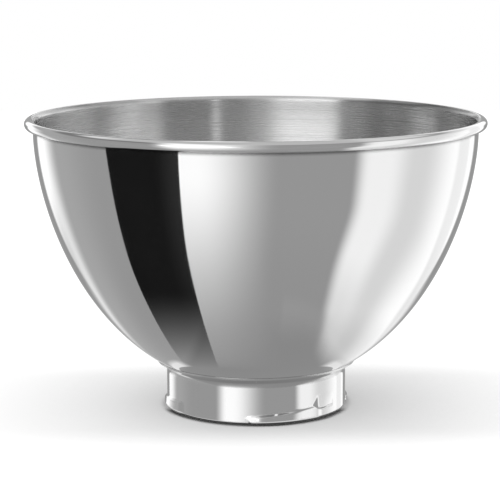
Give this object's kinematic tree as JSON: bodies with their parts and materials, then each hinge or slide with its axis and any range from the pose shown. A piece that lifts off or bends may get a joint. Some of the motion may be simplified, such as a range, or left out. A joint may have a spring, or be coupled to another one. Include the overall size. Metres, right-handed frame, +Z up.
{
  "type": "stand mixer bowl",
  "caption": "Deep round mixing bowl with a rolled rim, on a short pressed foot whose bayonet ramps lock it to a stand mixer's base.",
  "frame": {"origin": "on the bowl's axis, in the plane that the foot rests on", "axes": "+Z up along the bowl's axis, -Y towards the side seen in the picture"},
  "size_m": [0.228, 0.228, 0.1457],
  "materials": {
    "shell_steel": "mirror polished outside and over the rim, satin turned finish inside",
    "foot_steel": "polished pressing"
  },
  "bodies": {
    "root": {"bowl_shell": "shell_steel", "foot_collar": "foot_steel"}
  },
  "joints": []
}
